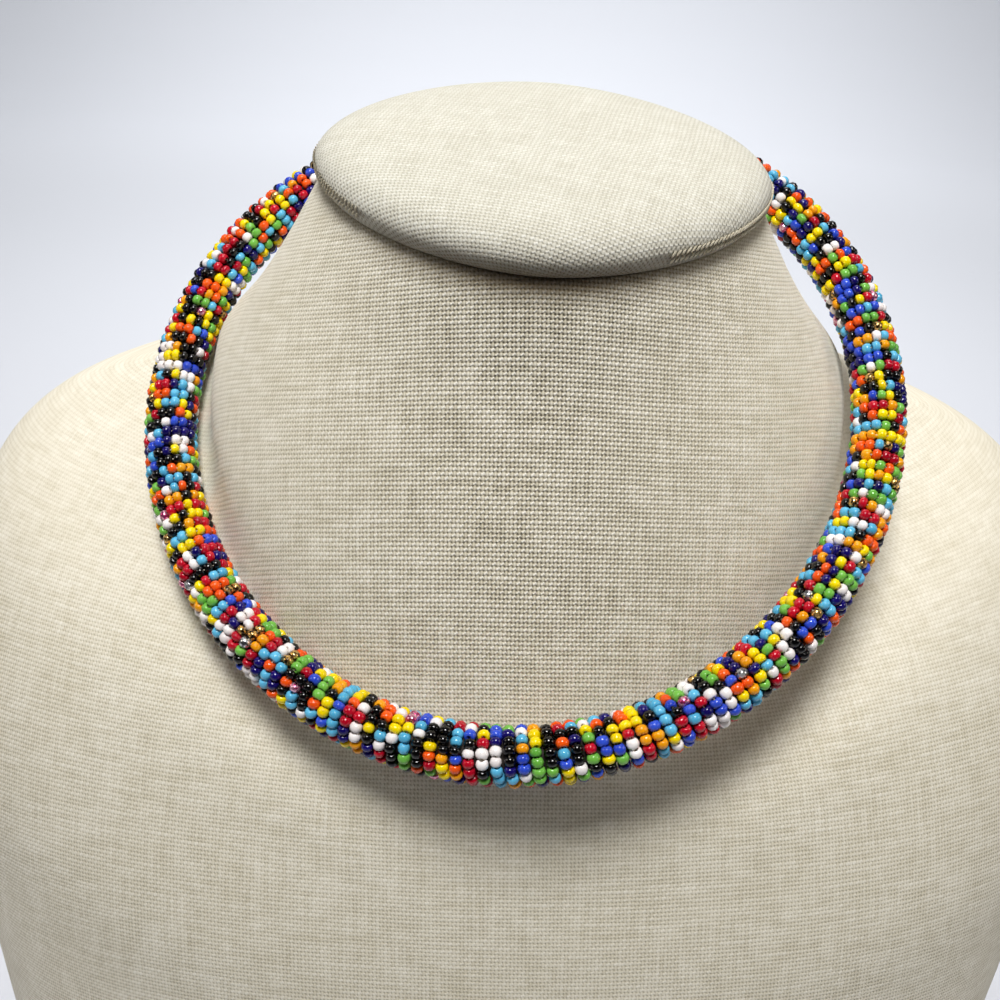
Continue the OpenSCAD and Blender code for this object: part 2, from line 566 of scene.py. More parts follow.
@dataclass(frozen=True)
class Outlines:
    """The rings of points that a CAD solid was skinned over, read back from its mesh.

    Attributes:
        rings: Points by ring and by place in the ring.
    """

    rings: np.ndarray

    WELD = 0.002 * MM
    FLAT = 1 - 1e-6

    @classmethod
    def of(cls, node: str, sides: int, start: Point) -> "Outlines":
        """Reads a node's rings, from the flat end that lies furthest along a direction.

        Args:
            node: The CAD node.
            sides: Points in each ring.
            start: Direction from the solid's middle to its first ring.

        Returns:
            The rings, each anticlockwise from above and from its rightmost point.

        Raises:
            ValueError: The solid isn't such a skin.
        """
        solid = bmesh.new()
        solid.from_mesh(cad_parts[node].data)
        bmesh.ops.remove_doubles(solid, verts=solid.verts, dist=cls.WELD)
        ends = cls.flat_ends(solid, sides)
        if len(ends) != 2:
            raise ValueError(f"{node} has {len(ends)} flat ends of {sides} points, and not 2")
        layer = max(ends, key=lambda end: sum(v.co.dot(Vector(start)) for v in end))
        done, rings = set(), []
        while layer:
            rings.append(cls.in_order([tuple(v.co) for v in layer]))
            done |= layer
            layer = {e.other_vert(v) for v in layer for e in v.link_edges} - done
        solid.free()
        if any(len(ring) != sides for ring in rings):
            raise ValueError(f"{node}'s rings don't all have {sides} points")
        return cls(np.array(rings))

    @classmethod
    def flat_ends(cls, solid: bmesh.types.BMesh, sides: int) -> list[set[bmesh.types.BMVert]]:
        """Finds the flat caps of a skinned solid.

        Args:
            solid: The solid's welded triangles.
            sides: Points round a cap.

        Returns:
            The points of each cap.
        """
        ends, waiting = [], set(solid.faces)
        while waiting:
            patch = [waiting.pop()]
            for face in patch:
                near = {other for edge in face.edges for other in edge.link_faces} & waiting
                level = {other for other in near if face.normal.dot(other.normal) > cls.FLAT}
                waiting -= level
                patch.extend(level)
            corners = {corner for face in patch for corner in face.verts}
            if len(patch) == sides - 2 and len(corners) == sides:
                ends.append(corners)
        return ends

    @staticmethod
    def in_order(points: list[Point]) -> np.ndarray:
        """Sorts a ring's points anticlockwise from above, the rightmost one first."""
        ring = np.array(points)
        out = ring - ring.mean(0)
        ring = ring[np.argsort(np.arctan2(out[:, 1], out[:, 0]))]
        return np.roll(ring, -int(ring[:, 0].argmax()), axis=0)

    def opened_at_back(self) -> np.ndarray:
        """Gives the rings from the middle of the back, by the left, front and right, to the back."""
        turned_back = np.roll(self.rings, -(self.rings.shape[1] // 4), axis=1)
        return np.concatenate([turned_back, turned_back[:, :1]], axis=1)


def unit(ways: np.ndarray) -> np.ndarray:
    """Brings vectors to length 1."""
    return ways / np.maximum(np.linalg.norm(ways, axis=-1, keepdims=True), 1e-12)


def eased(share: np.ndarray) -> np.ndarray:
    """Eases a share in and out, and keeps it from 0 to 1."""
    share = np.clip(share, 0, 1)
    return share * share * (3 - 2 * share)


def faded(distance: np.ndarray, width: float) -> np.ndarray:
    """Falls from 1 at the middle to about a third at the width, and on to 0."""
    return np.exp(-((distance / width) ** 2))


def around(rings: np.ndarray) -> np.ndarray:
    """Gives the way round each ring at its points, where the last point is the first again."""
    ways = np.gradient(rings, axis=1)
    ways[:, 0] = ways[:, -1] = (rings[:, 1] - rings[:, -2]) / 2
    return ways


def climbed(rings: np.ndarray) -> np.ndarray:
    """Gives each point's distance from the first ring, over the cloth."""
    steps = np.linalg.norm(np.diff(rings, axis=0), axis=-1)
    return np.pad(np.cumsum(steps, axis=0), ((1, 0), (0, 0)))


def rounded_edge(edge: np.ndarray, near: np.ndarray, radius: float, depth: float) -> np.ndarray:
    """Gives the rings that round an edge off and take the cloth in behind it.

    Args:
        edge: Ring along the edge.
        near: The next ring on the visible side.
        radius: Radius of the rounding.
        depth: How far the cloth runs in, towards the ring's middle.

    Returns:
        The rings from the visible side to the hidden one.
    """
    inwards, outwards = unit(edge.mean(0) - edge), unit(near - edge) * radius
    corner = edge + (inwards * radius + outwards) * (1 - math.sqrt(0.5))
    return np.array([edge + outwards, corner, edge + inwards * radius, edge + inwards * depth])


def smoothed(rings: np.ndarray, steps: int) -> np.ndarray:
    """Lays more rings on smooth curves through the given ones.

    Args:
        rings: Points by ring.
        steps: Steps from each given ring to the next.

    Returns:
        The given rings and those between them.
    """
    first, second = rings[:-1], rings[1:]
    before = np.concatenate([rings[:1], rings[:-2]])
    after = np.concatenate([rings[2:], rings[-1:]])
    made = []
    for share in np.arange(steps) / steps:
        straight = 2 * first + (second - before) * share
        bend = (2 * before - 5 * first + 4 * second - after) * share**2
        twist = (3 * first - before - 3 * second + after) * share**3
        made.append((straight + bend + twist) / 2)
    between = np.stack(made, axis=1).reshape(-1, *rings.shape[1:])
    return np.concatenate([between, rings[-1:]])


@dataclass
class Skin:
    """A closed cloth skin over rings of points, with its weave laid out in metres.

    Attributes:
        name: Name of the piece.
        rings: Points from the middle of the back, round and back there, by ring.
        weave: Weave map's two coordinates at each of those points.
        opened: How far the weave is stretched open at each of them, from 0 to 1.
        painted_shade: How much shade is painted into the cloth at each of them, from 0 to 1.
        own_ends: Whether the two flat ends are cut from cloth of their own, or the weave runs on.
        levels: Levels of subdivision.
    """

    name: str
    rings: np.ndarray
    weave: np.ndarray
    opened: np.ndarray
    painted_shade: np.ndarray
    own_ends: bool = True
    levels: int = 2

    def build(self, material: bpy.types.Material, creased: tuple[int, ...]) -> bpy.types.Object:
        """Makes the object.

        Args:
            material: Finish of the skin.
            creased: Rings along which the skin keeps an edge.

        Returns:
            The object, smooth shaded, under a Subdivision Surface modifier.
        """
        last, columns = self.rings.shape[0] - 1, self.rings.shape[1] - 1
        form = bmesh.new()
        weave_map = form.loops.layers.uv.new(WEAVE_MAP)
        layers = [form.verts.layers.float.new(name) for name in (OPENED, PAINTED_SHADE)]
        points = [[form.verts.new(p) for p in ring[:-1]] for ring in self.rings]
        for layer, shares in zip(layers, (self.opened, self.painted_shade)):
            for row, row_shares in zip(points, shares):
                for point, share in zip(row, row_shares):
                    point[layer] = share
        for i in range(last):
            for c in range(columns):
                corners = ((i, c), (i, c + 1), (i + 1, c + 1), (i + 1, c))
                face = form.faces.new([points[row][column % columns] for row, column in corners])
                for loop, corner in zip(face.loops, corners):
                    loop[weave_map].uv = self.weave[corner]
        for row, order in ((0, range(columns)[::-1]), (last, range(columns))):
            face = form.faces.new([points[row][column] for column in order])
            for loop, column in zip(face.loops, order):
                at_edge = self.rings[row, column, :2] if self.own_ends else self.weave[row, column]
                loop[weave_map].uv = at_edge
        crease = form.edges.layers.float.new("crease_edge")
        for row in creased:
            for c in range(columns):
                form.edges.get((points[row][c], points[row][(c + 1) % columns]))[crease] = 1.0
        for face in form.faces:
            face.smooth = True
        mesh = poured(self.name, form)
        mesh.materials.append(material)
        made = link(self.name, mesh)
        soften = made.modifiers.new("soften", "SUBSURF")
        soften.levels = soften.render_levels = self.levels
        return made


@dataclass
class LinenBust:
    """The linen-covered neck, shoulders and chest.

    Attributes:
        sides: Points in each ring of the CAD solid.
        level_pull: How far threads on flat shoulders follow the rings round the neck.
        chest_height: Height along the front, up from the base, at which the cloth starts to change
            its hang from that of the chest.
        neck_height: Height along the front at which it hangs as on the neck.
        chest_sag: Share by which the level threads of the chest hang back towards level.
        neck_sag: The same share on the neck.
        slack: How far the weave is open where the cloth lies slack, on the chest.
        calm: How far it is open at the sides of the neck and on the shoulders.
        slack_below: Height over the base under which it lies slack.
        tight_above: Height from which it is tight, in front of the neck.
        tight_width: Distance from the middle at which the tightness has faded to a third.
        tight_before: Place front to back from which the tightness starts.
        edge: Radius of the edge at the top of the neck.
        tuck: How far the cloth runs in under the pad.
        painted_shade: How dark the shade painted into the crease under the pad is at the middle of the
            front.
        shade_width: Distance from there at which this has faded to a third.
        linen: Finish of the cloth.
    """

    sides: int = 64
    level_pull: float = 0.35
    chest_height: float = 93 * MM
    neck_height: float = 269 * MM
    chest_sag: float = -0.32
    neck_sag: float = 0.43
    slack: float = 0.32
    calm: float = 0.14
    slack_below: float = 185 * MM
    tight_above: float = 225 * MM
    tight_width: float = 40 * MM
    tight_before: float = 30 * MM
    edge: float = 0.5 * MM
    tuck: float = 3 * MM
    painted_shade: float = 0.85
    shade_width: float = 30 * MM
    linen: LinenFinish = LinenFinish("bust_linen", turn=-2.5)

    def weave_of(self, rings: np.ndarray) -> np.ndarray:
        """Lays level and upright threads over the form.

        Level threads stay level on walls, and turn to follow the rings where the form is flat.

        Args:
            rings: Points from the middle of the back, by ring, from the base up.

        Returns:
            Distance right of the front's middle and up from the base, at each point.
        """
        middle = rings.shape[1] // 2
        along = around(rings)
        out = unit(np.cross(along, np.gradient(rings, axis=0)))
        level = unit(np.cross((0, 0, 1), out) + self.level_pull * unit(along))
        upright = np.cross(out, level)
        sideways = (np.diff(rings, axis=1) * (level[:, 1:] + level[:, :-1]) / 2).sum(-1)
        upwards = (np.diff(rings, axis=0) * (upright[1:] + upright[:-1]) / 2).sum(-1)
        across = np.pad(np.cumsum(sideways, axis=1), ((0, 0), (1, 0)))
        across -= across[:, middle][:, None]
        height = np.pad(np.cumsum(upwards, axis=0), ((1, 0), (0, 0)))
        front = height[:, middle]
        share = eased((front - self.chest_height) / (self.neck_height - self.chest_height))
        sag = self.chest_sag + (self.neck_sag - self.chest_sag) * share
        height = height - sag[:, None] * (height[-1] - front[-1])
        return np.stack([across, height], axis=-1)

    def openness_of(self, rings: np.ndarray) -> np.ndarray:
        """Works out how far the cloth's tension opens its weave at each point of the rings."""
        x, y, z = np.moveaxis(rings, -1, 0)
        rise = eased((z - self.slack_below) / (self.tight_above - self.slack_below))
        in_front = eased((self.tight_before - y) / self.tight_width)
        high = self.calm + (1 - self.calm) * faded(x, self.tight_width) * in_front
        return self.slack + (high - self.slack) * rise

    def build(self) -> None:
        """Builds the linen skin in the place of the solid bust."""
        rings = Outlines.of("bust_body", self.sides, (0, 0, -1)).opened_at_back()
        top = rounded_edge(rings[-1], rings[-2], self.edge, self.tuck)
        rings = np.concatenate([rings[:-1], top])
        x, y, _ = rings[-1].T
        # Shade painted into the crease under the pad, on the rounded top rings, fading away from the
        # middle of the front.
        painted_shade = np.zeros(rings.shape[:2])
        painted_shade[-len(top) :] = self.painted_shade * faded(x, self.shade_width) * (y < y.mean())
        skin = Skin("bust_linen", rings, self.weave_of(rings), self.openness_of(rings), painted_shade)
        dress(skin.build(self.linen.material(), (0, len(rings) - 1)), "bust_body")


class Tree:
    """A Geometry Nodes tree with named inputs."""

    KINDS = {
        float: "NodeSocketFloat",
        int: "NodeSocketInt",
        bpy.types.Object: "NodeSocketObject",
        bpy.types.Material: "NodeSocketMaterial",
    }

    def __init__(self, name: str, values: dict[str, object]) -> None:
        """Starts the tree.

        Args:
            name: The tree's name.
            values: Its inputs by name, after the geometry, as for one of its runs.
        """
        self.group = bpy.data.node_groups.new(name, "GeometryNodeTree")
        self.bench = Bench(self.group)
        new_socket = self.group.interface.new_socket
        new_socket("Geometry", in_out="INPUT", socket_type="NodeSocketGeometry")
        self.identifiers = {
            label: new_socket(label, in_out="INPUT", socket_type=self.KINDS[type(value)]).identifier
            for label, value in values.items()
        }
        new_socket("Geometry", in_out="OUTPUT", socket_type="NodeSocketGeometry")
        self.given = self.bench.node("NodeGroupInput")

    def __getitem__(self, label: str) -> Wire:
        """Gives one of the tree's inputs."""
        return Wire(self.bench, self.given.outputs[label])

    def chance(
        self,
        turn: int,
        low: Wire | float = -1.0,
        high: Wire | float = 1.0,
        who: Wire | None = None,
    ) -> Wire:
        """Draws a random number for each element from the tree's seed.

        Args:
            turn: Number that keeps this draw apart from the others.
            low: Least value.
            high: Greatest value.
            who: What tells the elements apart, or their own index.

        Returns:
            The number drawn.
        """
        draw = self.bench.node("FunctionNodeRandomValue", {"data_type": "FLOAT"})
        who = who or self.bench.wire("GeometryNodeInputIndex")
        values = {"Min": low, "Max": high, "ID": who, "Seed": self["Seed"] + turn}
        inputs = {k: values[socket.name] for k, socket in enumerate(draw.inputs) if socket.enabled}
        self.bench.feed(draw, inputs)
        return Wire(self.bench, next(socket for socket in draw.outputs if socket.enabled))

    def about_one(self, spread: str, turn: int) -> Wire:
        """Draws a factor about 1, as far from it as the named input lets it be."""
        return self.chance(turn, 1 - self[spread], 1 + self[spread])

    def smooth_line(self) -> Wire:
        """Turns the tree's own geometry, a row of points, into one smooth curve."""
        curve = self.bench.wire("GeometryNodeMeshToCurve", None, {0: self["Geometry"]})
        settings = {"spline_type": "CATMULL_ROM"}
        return self.bench.wire("GeometryNodeCurveSplineType", settings, {0: curve})

    def place(self, points: Wire, form: Wire, scale: Wire, way: Wire, out: Wire, **more: Wire) -> Wire:
        """Puts a form on each point.

        Args:
            points: The points.
            form: What is put there.
            scale: Its size along its own axes.
            way: Where its Z points.
            out: Where its X points.
            more: Further inputs of the node.

        Returns:
            The instances.
        """
        axes = {"primary_axis": "Z", "secondary_axis": "X"}
        ways = {"Primary Axis": way, "Secondary Axis": out}
        rotation = self.bench.wire("FunctionNodeAxesToRotation", axes, ways)
        sockets = {"Points": points, "Instance": form, "Rotation": rotation, "Scale": scale}
        return self.bench.wire("GeometryNodeInstanceOnPoints", None, sockets | more)

    def end(self, geometry: Wire) -> None:
        """Realizes what the tree has made, sets its finish and ends the tree."""
        real = self.bench.wire("GeometryNodeRealizeInstances", None, {0: geometry})
        smooth = self.bench.wire("GeometryNodeSetShadeSmooth", None, {0: real})
        sockets = {"Geometry": smooth, "Material": self["Finish"]}
        dressed = self.bench.wire("GeometryNodeSetMaterial", None, sockets)
        self.bench.node("NodeGroupOutput", None, {0: dressed})

    def run(self, name: str, base: bpy.types.Mesh, values: dict[str, object]) -> bpy.types.Object:
        """Runs the tree once and keeps its result as a plain mesh.

        Args:
            name: Name of the piece.
            base: Mesh that the tree starts from.
            values: The tree's inputs by name.

        Returns:
            The piece, with no modifier.
        """
        host = link(name, base.copy())
        modifier = host.modifiers.new("strung", "NODES")
        modifier.node_group = self.group
        for label, value in values.items():
            modifier[self.identifiers[label]] = value
        graph = bpy.context.evaluated_depsgraph_get()
        made = bpy.data.meshes.new_from_object(host.evaluated_get(graph))
        host.modifiers.remove(modifier)
        host.data = made
        made.name = name
        return host


@dataclass
class Stitching:
    """Slanted stitches of pale thread, in rows along the seam of the neck pad.

    Attributes:
        spacing: Distance from one stitch to the next.
        length: Length of a stitch.
        thickness: Thickness of the thread.
        slant: Angle of a stitch to the seam, in degrees.
        uneven: Spread of the angle, in degrees.
        proud: How far the middle of the thread stands over the seam's own line.
        rows: Heights of the rows over the seam's middle.
        seed: Seed of the spread.
        thread: Finish of the thread.
    """

    spacing: float = 1.1 * MM
    length: float = 1.45 * MM
    thickness: float = 0.46 * MM
    slant: float = 58.0
    uneven: float = 8.0
    proud: float = 0.2 * MM
    rows: tuple[float, ...] = (-0.65 * MM, 0.65 * MM)
    seed: int = 11
    thread: CordFinish = CordFinish("seam_thread", seen(236, 231, 212), seen(164, 152, 120))

    OUTWARDS = "outwards"
    ALONG = "along"

    def tree(self, values: dict[str, object]) -> Tree:
        """Builds the tree that lays stitches along a closed line.

        Args:
            values: The tree's inputs, as for one of the rows.

        Returns:
            The tree.
        """
        tree = Tree("seam_stitches", values)
        bench = tree.bench
        sockets = {"Curve": tree.smooth_line(), "Length": tree["Spacing"]}
        line = bench.wire("GeometryNodeResampleCurve", {"mode": "LENGTH"}, sockets)
        vectors = {"data_type": "FLOAT_VECTOR"}
        out, ahead = (
            bench.vector("NORMALIZE", bench.wire("GeometryNodeInputNamedAttribute", vectors, {0: name}))
            for name in (self.OUTWARDS, self.ALONG)
        )
        above = bench.vector("CROSS_PRODUCT", out, ahead)
        angle = tree["Slant"] + tree.chance(1) * tree["Uneven"]
        way = bench.sum_of(ahead, angle.cosine(), above, angle.sine())
        shift = bench.sum_of(out, tree["Proud"], above, tree["Row"])
        moved = bench.wire("GeometryNodeSetPosition", None, {"Geometry": line, "Offset": shift})
        ball = bench.wire("GeometryNodeMeshUVSphere", None, {"Segments": 6, "Rings": 6, "Radius": 0.5})
        thick = tree["Thickness"]
        tree.end(tree.place(moved, ball, bench.join(thick, thick, tree["Length"]), way, out))
        return tree

    def build(self, seam: np.ndarray, outwards: np.ndarray, shows: np.ndarray) -> None:
        """Sews the rows.

        Args:
            seam: Points of the seam's middle, open at the back.
            outwards: The cloth's own way out at each point.
            shows: Whether the seam shows there, or turns in under the edge.
        """
        count = len(seam) - 1
        steps = [(i, (i + 1) % count) for i in range(count)]
        line = bpy.data.meshes.new("seam_line")
        line.from_pydata(seam[:-1].tolist(), [(i, k) for i, k in steps if shows[i] and shows[k]], [])
        along = unit(np.roll(seam[:-1], -1, axis=0) - np.roll(seam[:-1], 1, axis=0))
        for name, ways in ((self.OUTWARDS, outwards[:-1]), (self.ALONG, along)):
            line.attributes.new(name, "FLOAT_VECTOR", "POINT").data.foreach_set("vector", ways.ravel())
        values = {
            "Spacing": self.spacing,
            "Length": self.length,
            "Thickness": self.thickness,
            "Slant": math.radians(self.slant),
            "Uneven": math.radians(self.uneven),
            "Proud": self.proud,
            "Row": 0.0,
            "Seed": self.seed,
            "Finish": self.thread.material(),
        }
        tree = self.tree(values)
        for number, row in enumerate(self.rows, 1):
            own = {"Row": row, "Seed": self.seed + number}
            stitches = tree.run(f"seam_stitches_{number}", line, values | own)
            dress(stitches, "neck_pad")


@dataclass
class NeckPad:
    """The padded top of the neck, under the same linen.

    Attributes:
        sides: Points in each ring of the CAD solid.
        linen: Finish of the cloth, with its threads turned across the neck; greyer and less yellow than
            the bust's though it is the same linen, partly painted light for the strong light on top.
        fill: How tight the padding is.
        opened: How far its weave is open.
        edge: Radius of its lower edge.
        tuck: How far the cloth runs in under the padding.
        steps: Rings that the skin has for each of the CAD solid's.
        seam_height: Distance of the seam from the lower edge, over the cloth.
        channel: Half of the width of the channel that the stitches pull in.
        channel_depth: Depth of the channel.
        hidden: Places left and right between which the front of the seam turns in under the edge.
        seam_shade: How dark the shade painted into the channel is.
        painted_shade: How dark the shade painted into the crease is at the middle of the front.
        shade_width: Distance from there at which this has faded to a third.
        shade_height: Distance from the lower edge at which it ends, over the cloth.
        stitching: The seam's stitches.
    """

    sides: int = 64
    linen: LinenFinish = LinenFinish(
        "pad_linen",
        turn=12.0,
        across=0.85 * MM,
        down=0.76 * MM,
        # Greyer, less yellow colours than the bust's linen: partly the cloth's own tone, partly painted
        # light for the strong light on the pad's top.
        pale=seen(226, 226, 216),
        shade=seen(200, 197, 180),
    )
    fill: float = 0.9
    opened: float = 0.6
    edge: float = 0.3 * MM
    tuck: float = 3 * MM
    steps: int = 5
    seam_height: float = 2.9 * MM
    channel: float = 1.2 * MM
    channel_depth: float = 0.4 * MM
    hidden: tuple[float, float] = (-31 * MM, 23 * MM)
    seam_shade: float = 0.6
    painted_shade: float = 0.85
    shade_width: float = 36 * MM
    shade_height: float = 6.5 * MM
    stitching: Stitching = field(default_factory=Stitching)

    def with_channel(self, rings: np.ndarray) -> tuple[np.ndarray, ...]:
        """Presses the seam's channel into the skin, where the seam shows.

        Args:
            rings: Points from the middle of the back, by ring, from the edge to the crown.

        Returns:
            The pressed rings, the seam's middle, the way out along it and whether it shows.
        """
        outwards = unit(np.cross(around(rings), np.gradient(rings, axis=0)))
        away = climbed(rings) - self.seam_height
        nearest = np.abs(away).argmin(0), np.arange(rings.shape[1])
        middle, out = rings[nearest], outwards[nearest]
        x, y, _ = middle.T
        shows = (x < self.hidden[0]) | (x > self.hidden[1]) | (y > y.mean())
        share = np.clip(away / self.channel, -1, 1)
        depth = self.channel_depth * shows * (1 + np.cos(math.pi * share)) / 2
        return rings - outwards * depth[..., None], middle - out * self.channel_depth / 2, out, shows

    def painted_shade_of(self, rings: np.ndarray, shows: np.ndarray) -> np.ndarray:
        """Works out how much shade to paint into the crease at the front and into the seam's channel.

        Args:
            rings: Points from the middle of the back, by ring, from the edge to the crown.
            shows: Whether the seam shows, from the middle of the back round to it.

        Returns:
            The share at each point.
        """
        away = climbed(rings)
        in_front = rings[..., 1] < rings[..., 1].mean()
        # Painted shade, not wear: strongest at the middle of the front, less to the sides and none at the
        # back.
        worn = faded(rings[..., 0], self.shade_width) * in_front
        crease = self.painted_shade * worn * (1 - eased(away / self.shade_height))
        seam = self.seam_shade * shows * (1 - eased(abs(away - self.seam_height) / self.channel))
        return np.maximum(crease, seam)

    def weave_of(self, rings: np.ndarray) -> np.ndarray:
        """Spreads the weave out from the middle of the crown, true to length down to the edge.

        Args:
            rings: Points from the middle of the back, by ring, from the edge to the crown.

        Returns:
            The weave map's coordinates at each point.
        """
        crown = rings[-1, :-1].mean(0)
        away = climbed(rings)
        reach = np.linalg.norm(rings[-1] - crown, axis=-1) + away[-1] - away
        return unit(rings[..., :2] - crown[:2]) * reach[..., None]

    def build(self) -> None:
        """Builds the padded piece in the place of the solid pad."""
        rings = Outlines.of("neck_pad", self.sides, (0, 0, -1)).opened_at_back()
        rings, seam, outwards, shows = self.with_channel(smoothed(rings, self.steps))
        # Shade painted into the crease at the front and into the seam's channel.
        painted_shade = self.painted_shade_of(rings, shows)
        bottom = rounded_edge(rings[0], rings[1], self.edge, self.tuck)[::-1]
        rings = np.concatenate([bottom, rings[1:]])
        painted_shade = np.concatenate([np.repeat(painted_shade[:1], len(bottom), axis=0), painted_shade[1:]])
        opened = np.full(rings.shape[:2], self.opened)
        weave = self.weave_of(rings)
        skin = Skin("neck_pad_linen", rings, weave, opened, painted_shade, own_ends=False, levels=1)
        pad = skin.build(self.linen.material(), (0,))
        self.stitching.build(seam, outwards, shows)
        dress(pad, "neck_pad")


@dataclass(frozen=True)
class BeadForm:
    """One drilled seed bead, with its hole along Z.

    Attributes:
        radius: Outer radius.
        half_length: Half of its length.
        sides: Sides round its axis.
        profile: Radius and height of its points, as shares, from the hole's lip to the middle.
    """

    radius: float = 1.2 * MM
    half_length: float = 0.88 * MM
    sides: int = 10
    profile: tuple[tuple[float, float], ...] = ((0.3, 0.84), (0.54, 0.98), (0.84, 0.68), (1.0, 0.0))

    def build(self) -> bpy.types.Object:
        """Turns the profile round the hole and gives the template object."""
        upper = [(r * self.radius, z * self.half_length) for r, z in self.profile]
        rows = upper + [(r, -z) for r, z in reversed(upper[:-1])]
        return link("bead_form", lathed("bead_form", rows, self.sides, closed=True))


BEAD_COLOURS = (
    BeadFinish("black", 17.0, seen(8, 7, 8), seen(3, 3, 3)),
    BeadFinish("red", 11.5, seen(196, 16, 40), seen(120, 6, 26)),
    BeadFinish("sky", 11.5, seen(98, 190, 230), seen(58, 150, 188)),
    BeadFinish("white", 10.5, seen(250, 246, 244), seen(226, 216, 214)),
    BeadFinish("yellow", 10.0, seen(252, 224, 4), seen(226, 190, 0)),
    BeadFinish("orange", 9.0, seen(248, 92, 18), seen(222, 62, 10)),
    BeadFinish("royal", 8.5, seen(54, 86, 214), seen(26, 44, 160)),
    BeadFinish("navy", 8.0, seen(24, 16, 104), seen(10, 8, 50)),
    BeadFinish("green", 8.0, seen(118, 190, 76), seen(74, 150, 50)),
    BeadFinish("amber", 5.5, seen(246, 164, 14), seen(220, 132, 6)),
    BeadFinish("gold", 2.2, seen(236, 190, 110), seen(52, 34, 16), Glass.LINED),
    BeadFinish("pink", 1.2, seen(250, 196, 216), seen(190, 60, 120), Glass.LINED),
    BeadFinish("silver", 0.8, seen(236, 238, 240), seen(90, 90, 96), Glass.LINED),
)


